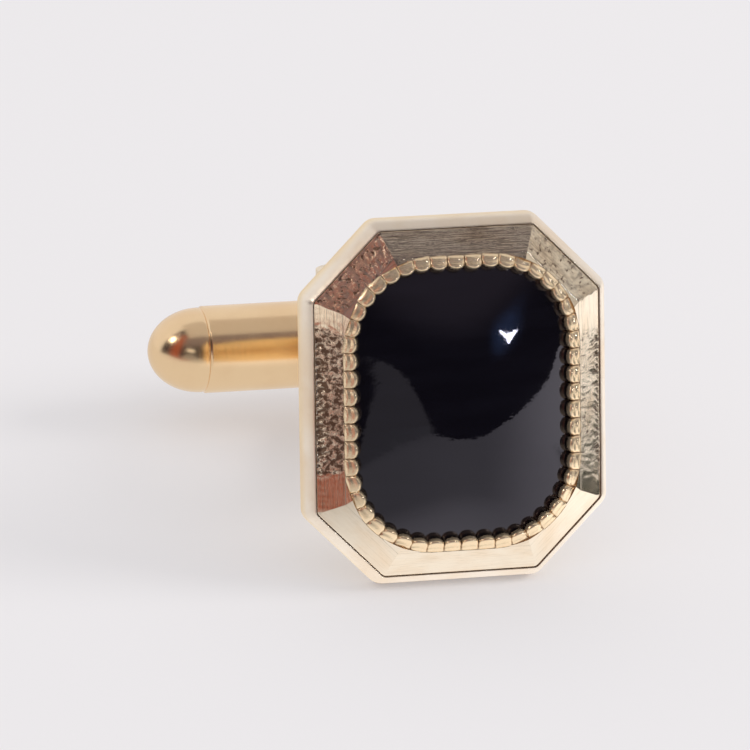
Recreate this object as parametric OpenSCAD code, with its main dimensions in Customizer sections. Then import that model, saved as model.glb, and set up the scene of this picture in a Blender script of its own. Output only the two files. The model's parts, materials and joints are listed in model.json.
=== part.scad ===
// A cufflink with an octagonal faceted face, a black domed stone and a swivelling bar on a fork.
// Every piece is built in the face's own frame: X across the face, Z up it, and Y through it,
// with zero on the rim's front and the back of the cufflink towards +Y. The whole is then leaned
// back, because on a table it rests on the face's lower edge and the end of the fork.

/* [Face] */
// Width of the octagonal face
face_w = 14.5; // [13.5:0.1:16]
// Height of the octagonal face
face_h = 17; // [16:0.1:19]
// Length that each corner cut takes off a side of the face
corner_cut = 3.4; // [3:0.1:4.2]

/* [Tray] */
// Width of the polished rim round the facets
rim_w = 0.45; // [0.35:0.05:0.6]
// Depth of the tray from the rim's front to its back
tray_depth = 1.5; // [1.3:0.05:2]
// Thickness of the tray's floor
tray_floor = 0.5; // [0.4:0.05:0.6]

/* [Bezel] */
// Width of one facet, seen from the front
facet_w = 1.15; // [1.05:0.05:1.4]
// Height that a facet rises towards the stone
facet_rise = 0.8; // [0.6:0.05:1]
// Depth of the facets' outer edge below the rim
rim_step = 0.12; // [0.06:0.02:0.2]

/* [Bead ring] */
// Width of the ledge that carries the ring
ledge_w = 0.35; // [0.25:0.05:0.45]
// Depth of the ledge below the facets' inner edge
ledge_depth = 0.4; // [0.3:0.05:0.5]
// Reach of the lobes over the stone's edge
ring_lap = 0.3; // [0.2:0.01:0.35]
// Height of the lobes above the facets' inner edge
ring_rise = 0.35; // [0.25:0.05:0.5]
// Distance from lobe to lobe
lobe_pitch = 0.82; // [0.7:0.02:1.1]

/* [Stone] */
// Height of the dome above the stone's edge
stone_dome = 1.5; // [1.2:0.1:1.8]
// Thickness of the cement behind the stone
cement_t = 0.2; // [0.1:0.05:0.3]

/* [Post] */
// Diameter of the foot in the tray's floor
foot_d = 5.2; // [4.4:0.1:6]
// Diameter of the post
post_d = 3.4; // [2.8:0.1:4]
// Length over which the foot narrows to the post
flare_len = 1.2; // [0.8:0.1:1.6]
// Diameter of the tenon in the fork's base
tenon_d = 1.8; // [1.4:0.1:2.2]

/* [Fork] */
// Width of the strap that the fork is bent from
strap_w = 4.2; // [3.6:0.1:4.8]
// Thickness of the strap
strap_t = 1.25; // [1:0.05:1.5]
// Inner radius of the strap's two bends
bend_r = 0.5; // [0.3:0.1:0.8]

/* [Bar] */
// Distance from the rim's front to the bar's axis
bar_reach = 18; // [17:0.1:20]
// Length of the bar, tip to tip
bar_len = 21; // [18:0.1:21.5]
// Diameter of the bar
bar_d = 4.2; // [3.8:0.1:4.6]
// Length of a rounded tip
tip_len = 2.6; // [2:0.1:3]
// Wall of the bar's tube
tube_wall = 0.5; // [0.4:0.05:0.6]
// Length of a tip's plug inside the tube
plug_len = 1.5; // [1:0.1:2]
// Bevel on each side of the seam between tube and tip
seam_bevel = 0.1; // [0.05:0.01:0.15]
// How much a tip's radius is less than the tube's
tip_step = 0.06; // [0:0.02:0.1]

/* [Pin] */
// Diameter of the pivot pin
pin_d = 1.4; // [1.1:0.1:1.6]
// Diameter of the pin's riveted heads
head_d = 2.3; // [2:0.1:2.8]
// Height of a riveted head
head_h = 0.35; // [0.2:0.05:0.5]

/* [Spring] */
// Thickness of the leaf that rubs on the pin
leaf_t = 0.2; // [0.12:0.02:0.24]
// Width of the leaf
leaf_w = 2; // [1.6:0.1:2.2]

/* [Clearances] */
// Seam between the tray's rim and the bezel
seam_gap = 0.05; // [0.02:0.01:0.08]
// Room between the stone and the metal round it
stone_gap = 0.05; // [0.03:0.01:0.08]
// Room between the bar's side and each arm of the fork
arm_gap = 0.2; // [0.15:0.05:0.3]
// Room between the bar's tip and the fork's base when they are in line
nose_gap = 0.6; // [0.4:0.1:0.8]
// Running clearance round the pin
turn_gap = 0.04; // [0.02:0.01:0.08]
// Clearance between pieces that are pressed or soldered together
fit_gap = 0.02; // [0.01:0.01:0.03]

/* [Hidden] */

gold = [0.86, 0.74, 0.54];
pale_gold = [0.92, 0.83, 0.66];
black_glass = [0.03, 0.03, 0.04];
cement_grey = [0.62, 0.6, 0.55];
spring_steel = [0.66, 0.67, 0.69];

// How far every cut runs past the face that it opens
overrun = 0.5;
// Round surfaces
$fn = 96;

// An inset of 1 takes this much off the length of a corner cut
mitre_share = 2 - sqrt(2);

// The face from the rim inwards, each value an inset from the octagon's outline
bezel_inset = rim_w + seam_gap;
seat_inset = bezel_inset + facet_w;
pocket_inset = seat_inset + ledge_w;
stone_inset = pocket_inset + stone_gap;
ring_inset = seat_inset + fit_gap;

// Levels through the face, smaller towards the front
floor_y = tray_depth - tray_floor;
facet_top_y = rim_step - facet_rise;
ledge_y = facet_top_y + ledge_depth;
stone_back_y = floor_y - cement_t;

// The dome falls away from its top with this power of the distance
dome_power_share = 2.1;
dome_steps = 12;
dome_sides = 72;
function dome_share(rho) = 1 - pow(rho, dome_power_share);
function half_w(inset) = face_w / 2 - inset;
function half_h(inset) = face_h / 2 - inset;
lap_rho = 1 - (ring_lap - stone_gap) / half_w(stone_inset);
stone_edge_y = facet_top_y + stone_gap + stone_dome * dome_share(lap_rho);

// The back of the cufflink
bar_r = bar_d / 2;
pin_r = pin_d / 2;
head_r = head_d / 2;
bore_r = bar_r - tube_wall;
tube_len = bar_len - 2 * tip_len;
slot_y = bar_reach - bar_len / 2 - nose_gap;
base_y = slot_y - strap_t;
arm_in = bar_r + arm_gap;
arm_out = arm_in + strap_t;

// Outline of a rivet head: distance from the pin's axis, and from the middle of the bar
head_steps = 5;
head_outline = [for (i = [0:head_steps]) let (a = 90 * i / head_steps)
    [head_r * cos(a), arm_out + head_h * sin(a)]];

// The octagon's points at an inset from the face's outline
function cut_at(inset) = corner_cut - inset * mitre_share;
function octagon(inset) =
    let (w = half_w(inset), h = half_h(inset), c = cut_at(inset))
    [[w, c - h], [w, h - c], [w - c, h], [c - w, h], [-w, h - c], [-w, c - h], [c - w, -h], [w - c, -h]];

// Radius of the rounded rectangle that touches all eight sides of the octagon at the bead ring's
// seat, and of those inside it
function corner_r(inset) = cut_at(seat_inset) / mitre_share - (inset - seat_inset);

// Distance from the face's centre to the rounded rectangle, in the direction a
function edge_at(a, inset) =
    let (w = half_w(inset), h = half_h(inset), r = corner_r(inset), c = abs(cos(a)), s = abs(sin(a)))
    s * w <= c * (h - r) ? w / c
    : c * h <= s * (w - r) ? h / s
    : let (along = (w - r) * c + (h - r) * s)
      along + sqrt(max(0, along * along - pow(w - r, 2) - pow(h - r, 2) + r * r));

// Distance from the centre to an ellipse as wide and high as that rectangle
function ellipse_at(a, inset) =
    let (w = half_w(inset), h = half_h(inset))
    w * h / sqrt(pow(h * cos(a), 2) + pow(w * sin(a), 2));

// The stone's level lines are ellipses near the top and rounded rectangles at the edge
function stone_point(rho, a, y) =
    let (d = rho * ((1 - rho * rho) * ellipse_at(a, stone_inset) + rho * rho * edge_at(a, stone_inset)))
    [d * cos(a), y, d * sin(a)];
stone_rings = concat(
    [[1, stone_back_y]],
    [for (i = [dome_steps:-1:1]) let (rho = sin(90 * i / dome_steps))
        [rho, stone_edge_y - stone_dome * dome_share(rho)]]);
stone_points = [for (r = stone_rings)
    [for (i = [0:dome_sides - 1]) stone_point(r[0], 360 * i / dome_sides, r[1])]];

// A point on a quarter of the bead ring's outer outline, at the distance t from its start on +X:
// place and outward direction
function quarter_point(t) =
    let (
        w = half_w(ring_inset), h = half_h(ring_inset), r = corner_r(ring_inset),
        a = (t - (h - r)) / r * 180 / PI)
    t <= h - r ? [w, t, 1, 0]
    : a <= 90 ? [w - r + r * cos(a), h - r + r * sin(a), cos(a), sin(a)]
    : [w - r - (t - (h - r) - r * PI / 2), h, 0, 1];
quarter_len = half_w(ring_inset) + half_h(ring_inset) - 2 * corner_r(ring_inset)
    + corner_r(ring_inset) * PI / 2;
function ring_place(t) =
    let (
        q = floor(t / quarter_len), u = t - q * quarter_len,
        p = quarter_point(q % 2 == 0 ? u : quarter_len - u),
        sx = q == 0 || q == 3 ? 1 : -1, sz = q < 2 ? 1 : -1)
    [sx * p[0], sz * p[1], sx * p[2], sz * p[3]];

// The ring's section, from its foot on the ledge over the crown to the tip over the stone. Lobe
// is 1 on a lobe and 0 between two.
crown_steps = 4;
valley_lap_share = 0.35;
valley_rise_share = 0.5;
function mix(a, b, share) = a + (b - a) * share;
function ring_section(lobe) =
    let (
        tip = ledge_w + ring_lap * mix(valley_lap_share, 1, lobe) - fit_gap,
        rise = ring_rise * mix(valley_rise_share, 1, lobe))
    concat(
        [[0, ledge_y]],
        [for (i = [0:crown_steps]) let (a = 180 * i / crown_steps)
            [tip * (1 - cos(a)) / 2, facet_top_y - rise * sin(a)]],
        [[ledge_w - fit_gap, facet_top_y], [ledge_w - fit_gap, ledge_y]]);
section_len = crown_steps + 4;
lobes = round(4 * quarter_len / lobe_pitch);
lobe_steps = 6;
stations = lobes * lobe_steps;
function lobe_at(i) = sqrt((1 + cos(360 * i / lobe_steps)) / 2);
ring_points = [
    for (i = [0:stations - 1])
        let (p = ring_place(i * 4 * quarter_len / stations))
        [for (s = ring_section(lobe_at(i))) [p[0] - s[0] * p[2], s[1], p[1] - s[0] * p[3]]]
];

// The lean: the face's lower back edge and the fork, or a rivet head under it, touch the table
function lean_on(p) = atan2(face_h / 2 - p[1], bar_reach + p[0] - tray_depth);
lean = min([for (p = concat([[strap_w / 2, arm_out]], head_outline)) lean_on(p)]);
function leaned_y(p) = p[1] * cos(lean) + p[2] * sin(lean);
front_y = min([for (ring = concat(stone_points, ring_points), p = ring) leaned_y(p)]);
back_y = max(leaned_y([0, bar_reach + strap_w / 2, arm_out]), bar_reach * cos(lean) + bar_r);
table_z = -face_h / 2 * cos(lean) - tray_depth * sin(lean);

// Sets a piece down on the table, with the middle of the cufflink's footprint at the origin
module leaned() {
    translate([0, -(front_y + back_y) / 2, -table_z]) rotate([-lean, 0, 0]) children();
}

// A flat shape across the face, given depth from the level y0 to y1
module slab(y0, y1) {
    translate([0, y1, 0]) rotate([90, 0, 0]) linear_extrude(y1 - y0) children();
}

// The rounded rectangle at an inset from the face's outline
module cushion(inset) {
    r = corner_r(inset);
    w = half_w(inset) - r;
    h = half_h(inset) - r;
    square([2 * (w + r), 2 * h], center = true);
    square([2 * w, 2 * (h + r)], center = true);
    for (sx = [-1, 1], sz = [-1, 1]) translate([sx * w, sz * h]) circle(r);
}

// Solid through rings of points, from the back one to the front one, closed at each end round a
// point on the face's axis
module lofted(rings, back_y, front_y) {
    n = len(rings[0]);
    last = (len(rings) - 1) * n;
    back = last + n;
    front = back + 1;
    walls = [for (r = [0:len(rings) - 2], i = [0:n - 1])
        let (a = r * n, b = a + n, j = (i + 1) % n)
        for (f = [[a + i, b + i, a + j], [a + j, b + i, b + j]]) f];
    ends = [for (i = [0:n - 1]) let (j = (i + 1) % n)
        for (f = [[back, i, j], [front, last + j, last + i]]) f];
    points = concat([for (ring = rings, p = ring) p], [[0, back_y, 0], [0, front_y, 0]]);
    polyhedron(points, concat(walls, ends));
}

// Eight facets that slope from one octagon to a smaller one in front of it
module frustum(inset0, y0, inset1, y1) {
    lofted([for (o = [[inset0, y0], [inset1, y1]]) [for (p = octagon(o[0])) [p[0], o[1], p[1]]]], y0, y1);
}

// A shape turned on the post's axis, from points of radius and level
module turned_on_post(points) {
    rotate([-90, 0, 0]) rotate_extrude() polygon(points);
}

// A shape turned on the bar's axis, from points of radius and distance along the bar
module turned_on_bar(points) {
    translate([0, bar_reach, 0]) rotate([0, 90, 0]) rotate_extrude() polygon(points);
}

// A round hole through both arms and the bar, where the pin goes
module pin_hole(r) {
    translate([0, bar_reach, 0]) cylinder(r = r, h = 2 * (arm_out + overrun), center = true);
}

// Shallow octagonal dish whose edge is the polished rim, with a hole for the post's foot
module tray() {
    color(pale_gold) leaned() difference() {
        slab(0, tray_depth) polygon(octagon(0));
        slab(-overrun, floor_y) polygon(octagon(rim_w));
        turned_on_post([
            [0, floor_y - overrun], [foot_d / 2 + fit_gap, floor_y - overrun],
            [foot_d / 2 + fit_gap, tray_depth + overrun], [0, tray_depth + overrun]]);
    }
}

// Octagonal frame with eight sloping facets, open for the stone, with a ledge for the bead ring
module bezel_frame() {
    color(gold) leaned() difference() {
        union() {
            slab(rim_step, floor_y) polygon(octagon(bezel_inset));
            frustum(bezel_inset, rim_step, seat_inset, facet_top_y);
        }
        slab(facet_top_y - overrun, ledge_y) cushion(seat_inset);
        slab(facet_top_y - overrun, floor_y + overrun) cushion(pocket_inset);
    }
}

// Ring of rounded lobes that holds the stone down
module bead_ring() {
    n = section_len;
    faces = [
        for (i = [0:stations - 1], k = [0:n - 1])
            let (a = i * n, b = (i + 1) % stations * n, m = (k + 1) % n)
            for (f = [[a + k, b + m, b + k], [a + k, a + m, b + m]]) f
    ];
    color(pale_gold) leaned() polyhedron([for (ring = ring_points, p = ring) p], faces);
}

// Black cushion-shaped stone with a flat back and a domed front
module stone() {
    color(black_glass) leaned() lofted(stone_points, stone_back_y, stone_edge_y - stone_dome);
}

// Bed of cement between the stone and the tray's floor
module stone_cement() {
    color(cement_grey) leaned() slab(stone_back_y, floor_y) cushion(stone_inset + stone_gap);
}

// Turned post: foot, flare, shaft and a tenon that is riveted in the fork's base
module post() {
    foot_r = foot_d / 2;
    post_r = post_d / 2;
    flare_steps = 8;
    flare = [for (i = [0:flare_steps]) let (a = 90 * i / flare_steps)
        [foot_r - (foot_r - post_r) * sin(a), tray_depth + flare_len * (1 - cos(a))]];
    color(gold) leaned() turned_on_post(concat(
        [[0, floor_y], [foot_r, floor_y]], flare,
        [[post_r, base_y], [tenon_d / 2, base_y], [tenon_d / 2, slot_y], [0, slot_y]]));
}

// Strap bent into a fork: a base with two round-ended arms, above and below the bar
module fork() {
    outer_r = bend_r + strap_t;
    end_y = bar_reach + strap_w / 2;
    color(gold) leaned() difference() {
        intersection() {
            translate([-strap_w / 2, 0, 0]) rotate([90, 0, 90]) linear_extrude(strap_w) difference() {
                union() {
                    translate([base_y + outer_r, -arm_out]) square([end_y - base_y - outer_r, 2 * arm_out]);
                    translate([base_y, outer_r - arm_out]) square([outer_r, 2 * (arm_out - outer_r)]);
                    for (s = [-1, 1]) translate([base_y + outer_r, s * (arm_out - outer_r)]) circle(outer_r);
                }
                translate([slot_y + bend_r, -arm_in]) square([end_y, 2 * arm_in]);
                translate([slot_y, bend_r - arm_in]) square([end_y, 2 * (arm_in - bend_r)]);
                for (s = [-1, 1]) translate([slot_y + bend_r, s * (arm_in - bend_r)]) circle(bend_r);
            }
            translate([0, 0, -arm_out - overrun]) linear_extrude(2 * (arm_out + overrun)) union() {
                translate([-strap_w / 2, base_y - overrun]) square([strap_w, bar_reach - base_y + overrun]);
                translate([0, bar_reach]) circle(strap_w / 2);
            }
        }
        pin_hole(pin_r + fit_gap);
        turned_on_post([
            [0, base_y - overrun], [tenon_d / 2 + fit_gap, base_y - overrun],
            [tenon_d / 2 + fit_gap, slot_y + overrun], [0, slot_y + overrun]]);
    }
}

// Pin through the fork's arms, with a rounded riveted head at each end
module pivot_pin() {
    upper = concat([[pin_r, arm_out]], head_outline);
    lower = [for (i = [len(upper) - 1:-1:0]) [upper[i][0], -upper[i][1]]];
    color(pale_gold) leaned() translate([0, bar_reach, 0]) rotate_extrude()
        polygon(concat(upper, lower));
}

// Tube of the bar, with bevelled ends and a hole across it for the pin
module bar_tube() {
    e = tube_len / 2;
    color(gold) leaned() difference() {
        turned_on_bar([
            [bore_r, -e], [bar_r - seam_bevel, -e], [bar_r, seam_bevel - e],
            [bar_r, e - seam_bevel], [bar_r - seam_bevel, e], [bore_r, e]]);
        pin_hole(pin_r + turn_gap);
    }
}

// Rounded tip with a plug that is pressed into the tube. Side is -1 for the left one.
module bar_tip(side) {
    e = tube_len / 2;
    plug_r = bore_r - fit_gap;
    nose_start = e + seam_bevel;
    nose_len = bar_len / 2 - nose_start;
    nose_steps = 14;
    nose = [for (i = [0:nose_steps]) let (a = 90 * i / nose_steps)
        [(bar_r - tip_step) * cos(a), nose_start + nose_len * sin(a)]];
    outline = concat(
        [[0, e - plug_len], [plug_r, e - plug_len], [plug_r, e], [bar_r - seam_bevel, e]], nose);
    color(gold) leaned() turned_on_bar([for (p = outline) [p[0], side * p[1]]]);
}

module bar_tip_left() {
    bar_tip(-1);
}

module bar_tip_right() {
    bar_tip(1);
}

// Bowed leaf inside the tube, whose crown rubs on the pin and keeps the bar where it is put
module friction_leaf() {
    // Sides of the two long arcs, each as a share of a whole circle
    arc_sides = 720;
    half_len = tube_len / 2 - plug_len - fit_gap;
    crown = pin_r + turn_gap;
    wall = sqrt(bore_r * bore_r - leaf_w * leaf_w / 4) - fit_gap;
    bow = max(leaf_t / 2, wall - leaf_t - crown);
    r = (half_len * half_len + bow * bow) / (2 * bow);
    color(spring_steel) leaned() translate([0, bar_reach, -leaf_w / 2]) linear_extrude(leaf_w)
        intersection() {
            translate([0, -crown - r]) difference() {
                circle(r, $fn = arc_sides);
                circle(r - leaf_t, $fn = arc_sides);
            }
            translate([-half_len, -crown - bow - leaf_t]) square([2 * half_len, bow + leaf_t]);
        }
}

tray();
bezel_frame();
bead_ring();
stone();
stone_cement();
post();
fork();
pivot_pin();
bar_tube();
bar_tip_left();
bar_tip_right();
friction_leaf();
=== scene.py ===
# %% [markdown]
# # A cufflink with an octagonal face and a swivelling bar
# The CAD model fixes where every piece is and how the bar turns. This script gives each piece the
# shape and the finish that the eye sees: rounded edges, textured facets, a ring of lobes, a black
# stone. We load the CAD model first. Nothing that we add may outgrow it.

# %% Load the CAD model
import json
import math

import bmesh
import bpy
from mathutils import Matrix, Vector, noise


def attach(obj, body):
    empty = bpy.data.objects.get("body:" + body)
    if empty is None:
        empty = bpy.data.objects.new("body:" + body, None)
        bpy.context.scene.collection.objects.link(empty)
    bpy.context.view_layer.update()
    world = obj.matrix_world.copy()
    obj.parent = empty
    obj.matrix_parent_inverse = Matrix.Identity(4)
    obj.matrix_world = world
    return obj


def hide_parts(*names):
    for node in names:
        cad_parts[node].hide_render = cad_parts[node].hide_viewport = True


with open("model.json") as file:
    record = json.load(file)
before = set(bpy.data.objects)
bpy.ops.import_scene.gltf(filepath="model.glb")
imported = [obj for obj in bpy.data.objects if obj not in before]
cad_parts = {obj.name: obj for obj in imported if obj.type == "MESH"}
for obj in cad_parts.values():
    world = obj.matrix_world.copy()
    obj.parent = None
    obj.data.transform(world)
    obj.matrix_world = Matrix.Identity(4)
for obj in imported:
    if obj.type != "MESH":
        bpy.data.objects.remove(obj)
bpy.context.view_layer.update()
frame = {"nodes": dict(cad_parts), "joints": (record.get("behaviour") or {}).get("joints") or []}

print("CAD nodes:", sorted(frame["nodes"]))

# %% [markdown]
# ## Sizes
# All lengths are in millimetres, as on a drawing, and have the values of the CAD source. An inset
# is a distance inwards from the face's octagonal outline, and a level is a distance back from the
# rim's front, so that what stands in front of the rim has a negative level.

# %% Sizes of the face
FACE_W, FACE_H, CORNER_CUT = 14.5, 17.0, 3.4
RIM_W, TRAY_DEPTH, TRAY_FLOOR = 0.45, 1.5, 0.5
FACET_W, FACET_RISE, RIM_STEP = 1.15, 0.8, 0.12
LEDGE_W, LEDGE_DEPTH, RING_LAP, RING_RISE, LOBE_PITCH = 0.35, 0.4, 0.3, 0.35, 0.82
STONE_DOME, CEMENT_T = 1.5, 0.2
SEAM_GAP, STONE_GAP, FIT_GAP = 0.05, 0.05, 0.02

BEZEL_INSET = RIM_W + SEAM_GAP
SEAT_INSET = BEZEL_INSET + FACET_W
POCKET_INSET = SEAT_INSET + LEDGE_W
STONE_INSET = POCKET_INSET + STONE_GAP
RING_INSET = SEAT_INSET + FIT_GAP
FLOOR_Y = TRAY_DEPTH - TRAY_FLOOR
FACET_TOP_Y = RIM_STEP - FACET_RISE
LEDGE_Y = FACET_TOP_Y + LEDGE_DEPTH
STONE_BACK_Y = FLOOR_Y - CEMENT_T
print(f"face {FACE_W} x {FACE_H} mm, facets from inset {BEZEL_INSET} to {SEAT_INSET} mm")

# %% Sizes of the back
FOOT_D, POST_D, FLARE_LEN, TENON_D = 5.2, 3.4, 1.2, 1.8
STRAP_W, STRAP_T, BEND_R = 4.2, 1.25, 0.5
BAR_REACH, BAR_LEN, BAR_D, TIP_LEN = 18.0, 21.0, 4.2, 2.6
TUBE_WALL, PLUG_LEN, SEAM_BEVEL, TIP_STEP = 0.5, 1.5, 0.1, 0.06
PIN_D, HEAD_D, HEAD_H = 1.4, 2.3, 0.35
ARM_GAP, NOSE_GAP, TURN_GAP = 0.2, 0.6, 0.04
# Two radii for edges, and how far a cutting tool runs past what it cuts
FINE_R, SOFT_R, OVERRUN = 0.03, 0.05, 1.0

SLOT_Y = BAR_REACH - BAR_LEN / 2 - NOSE_GAP
BASE_Y = SLOT_Y - STRAP_T
ARM_IN = BAR_D / 2 + ARM_GAP
ARM_OUT = ARM_IN + STRAP_T
TUBE_END = BAR_LEN / 2 - TIP_LEN
print(f"fork from level {BASE_Y} to {BAR_REACH + STRAP_W / 2} mm, bar {BAR_LEN} mm long")

# %% [markdown]
# ## From the drawing to the table
# On the drawing the face stands upright: X across it, Z up it and Y through it. On the table the
# cufflink leans back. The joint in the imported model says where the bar's pin is and how it leans,
# so one matrix, made from the joint, carries a drawn point in millimetres to its place in metres.

# %% The matrix from drawing to table
MM = 0.001
pin_joint = frame["joints"][0]
pin_place, pin_axis = Vector(pin_joint["pos_m"]), Vector(pin_joint["axis"])
lean = math.atan2(pin_axis.y, pin_axis.z)
to_table = (Matrix.Translation(pin_place) @ Matrix.Rotation(-lean, 4, "X")
            @ Matrix.Scale(MM, 4) @ Matrix.Translation((0, -BAR_REACH, 0)))
print(f"lean {math.degrees(lean):.2f} degrees")

# %% [markdown]
# ## Outlines
# Three helpers draw the outlines here. `fillet` rounds the corners of a flat outline.
# `octagon_ring` walks round the octagon at an inset, always with the same number of points, so
# that two such rings can be joined by a skin. `cushion_ring` does the same on the rounded
# rectangle of the stone's pocket.


# %% Rounded corners
def fillet(corners, closed=False, steps=4):
    """Points along an outline of (x, y, radius), with an arc in place of each corner."""
    out = []
    for i, (x, y, radius) in enumerate(corners):
        if radius == 0 or (not closed and i in (0, len(corners) - 1)):
            out.append((x, y))
            continue
        here = Vector((x, y))
        back = (Vector(corners[i - 1][:2]) - here).normalized()
        ahead = (Vector(corners[(i + 1) % len(corners)][:2]) - here).normalized()
        half = back.angle(ahead) / 2
        centre = here + (back + ahead).normalized() * radius / math.sin(half)
        first = here + back * radius / math.tan(half) - centre
        last = here + ahead * radius / math.tan(half) - centre
        start = math.atan2(first.y, first.x)
        sweep = math.atan2(first.x * last.y - first.y * last.x, first.dot(last))
        for k in range(steps + 1):
            a = start + sweep * k / steps
            out.append((centre.x + radius * math.cos(a), centre.y + radius * math.sin(a)))
    return out


def arc(steps, turn=math.pi / 2):
    """Angles from nothing to a turn, in equal steps."""
    return [turn * k / steps for k in range(steps + 1)]


def rising(value, low, high):
    """0 below low, 1 above high and a smooth rise between them."""
    t = min(1.0, max(0.0, (value - low) / (high - low)))
    return t * t * (3 - 2 * t)


# %% Rings of points round the face
MITRE_SHARE = 2 - math.sqrt(2)
SIDES = 8
CORNER_STEPS = 5


def octagon(inset):
    """The octagon's corners, from the right side's foot round to the left."""
    w, h, c = FACE_W / 2 - inset, FACE_H / 2 - inset, CORNER_CUT - inset * MITRE_SHARE
    return [(w, c - h), (w, h - c), (w - c, h), (c - w, h),
            (-w, h - c), (-w, c - h), (c - w, -h), (w - c, -h)]


SIDE_ENDS = list(zip(octagon(0), octagon(0)[1:] + octagon(0)[:1]))


def octagon_ring(inset, level, corner_r, counts):
    """A ring of points on the octagon, with rounded corners and evenly cut sides."""
    arcs = fillet([(x, z, corner_r) for x, z in octagon(inset)], closed=True, steps=CORNER_STEPS)
    per = CORNER_STEPS + 1
    ring = []
    for side, count in enumerate(counts):
        ring += arcs[side * per:(side + 1) * per]
        (x0, z0), (x1, z1) = ring[-1], arcs[(side + 1) % SIDES * per]
        ring += [(x0 + (x1 - x0) * k / count, z0 + (z1 - z0) * k / count)
                 for k in range(1, count)]
    return [(x, level, z) for x, z in ring]


def corner_radius(inset):
    """Radius of the rounded rectangle that touches the octagon at the bead ring's seat."""
    return (CORNER_CUT - SEAT_INSET * MITRE_SHARE) / MITRE_SHARE - (inset - SEAT_INSET)


def edge_at(direction, inset):
    """Distance from the face's centre to the rounded rectangle, along a flat unit vector."""
    w, h, r = FACE_W / 2 - inset, FACE_H / 2 - inset, corner_radius(inset)
    c, s = abs(direction.x), abs(direction.y)
    if s * w <= c * (h - r):
        return w / c
    if c * h <= s * (w - r):
        return h / s
    along = (w - r) * c + (h - r) * s
    return along + math.sqrt(max(0, along ** 2 - (w - r) ** 2 - (h - r) ** 2 + r ** 2))


def cushion_ring(inset, level, like):
    """A ring on the rounded rectangle, in the same directions as the ring it is joined to."""
    flat = [Vector((x, z)).normalized() for x, _, z in like]
    return [(d.x * edge_at(d, inset), level, d.y * edge_at(d, inset)) for d in flat]


# %% [markdown]
# ## Skins
# A skin joins rings of points to a closed mesh. Every hard piece here is one: the tray, the
# facets, the stone, and all that a lathe would turn. `publish` carries the points to the table,
# makes all faces look outwards, and keeps an edge sharp only where two faces meet at an angle.


# %% Skins and objects
def skin(rings, endless=False):
    """Points and faces through rings of equal length. Endless joins the last ring to the first,
    and otherwise each end closes round a middle point."""
    n = len(rings[0])
    points = [p for ring in rings for p in ring]
    faces = []
    for r in range(len(rings) if endless else len(rings) - 1):
        a, b = r * n, (r + 1) % len(rings) * n
        faces += [(a + i, a + (i + 1) % n, b + (i + 1) % n, b + i) for i in range(n)]
    if not endless:
        for ring, base in ((rings[0], 0), (rings[-1], (len(rings) - 1) * n)):
            points.append(tuple(sum(p[k] for p in ring) / n for k in range(3)))
            faces += [(base + i, base + (i + 1) % n, len(points) - 1) for i in range(n)]
    return points, faces


def clean(mesh, sharp_deg):
    """Merges doubled points, turns the faces outwards and marks the sharp edges. A volume below
    nought shows that a hollow shape was turned inside out."""
    work = bmesh.new()
    work.from_mesh(mesh)
    bmesh.ops.remove_doubles(work, verts=work.verts, dist=1e-7)
    bmesh.ops.recalc_face_normals(work, faces=work.faces)
    if work.calc_volume(signed=True) < 0:
        bmesh.ops.reverse_faces(work, faces=work.faces)
    work.to_mesh(mesh)
    work.free()
    mesh.shade_smooth()
    mesh.set_sharp_from_angle(angle=math.radians(sharp_deg))


def new_mesh(name, points, faces):
    mesh = bpy.data.meshes.new(name)
    mesh.from_pydata(points, [], faces)
    return mesh


def new_object(name, data):
    """An object in the scene, at the origin."""
    thing = bpy.data.objects.new(name, data)
    bpy.context.scene.collection.objects.link(thing)
    return thing


def table_mesh(name, shape):
    """A mesh on the table from a drawn shape, which is (points, faces)."""
    return new_mesh(name, [to_table @ Vector(p) for p in shape[0]], shape[1])


def publish(name, shape, sharp_deg=32):
    """A clean object on the table from a drawn shape."""
    mesh = table_mesh(name, shape)
    clean(mesh, sharp_deg)
    return new_object(name, mesh)


def settle(piece):
    """Puts what a piece's modifiers make into its mesh, and takes the modifiers off."""
    made = bpy.data.meshes.new_from_object(
        piece.evaluated_get(bpy.context.evaluated_depsgraph_get()))
    piece.modifiers.clear()
    piece.data = made
    return piece


def install(piece, body, node, finish):
    """Gives a piece its finish, and lets it stand for its CAD node on the node's body."""
    piece.data.materials.clear()
    piece.data.materials.append(finish)
    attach(piece, body)
    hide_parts(node)
    triangles = sum(len(p.vertices) - 2 for p in piece.data.polygons)
    print(f"{piece.name}: {triangles} triangles, for {node}")


# %% Turned shapes
TURN_STEPS, BAR_STEPS, SMALL_STEPS = 96, 128, 64


def turned(outline, axis, endless=False, steps=TURN_STEPS):
    """A skin turned from (radius, place along the axis). The axis is that of the post, the bar
    or the pin, and the last two cross at the bar's middle."""
    rings = []
    for radius, along in outline:
        ring = []
        for a in arc(steps, math.tau)[:-1]:
            u, v = radius * math.cos(a), radius * math.sin(a)
            ring.append({"post": (u, along, v), "bar": (along, BAR_REACH + u, v),
                         "pin": (u, BAR_REACH + v, along)}[axis])
        rings.append(ring)
    return skin(rings, endless)


# %% [markdown]
# ## Writing a material as sums
# A finish here is a sum of patterns: scratches, brushed lines, pits, smudges. Node by node that
# is hard to read, so a small class wraps a node's output, and Python's own + - * add the Math
# nodes. `add_node` makes any other node: its settings first, then its sockets.


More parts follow.
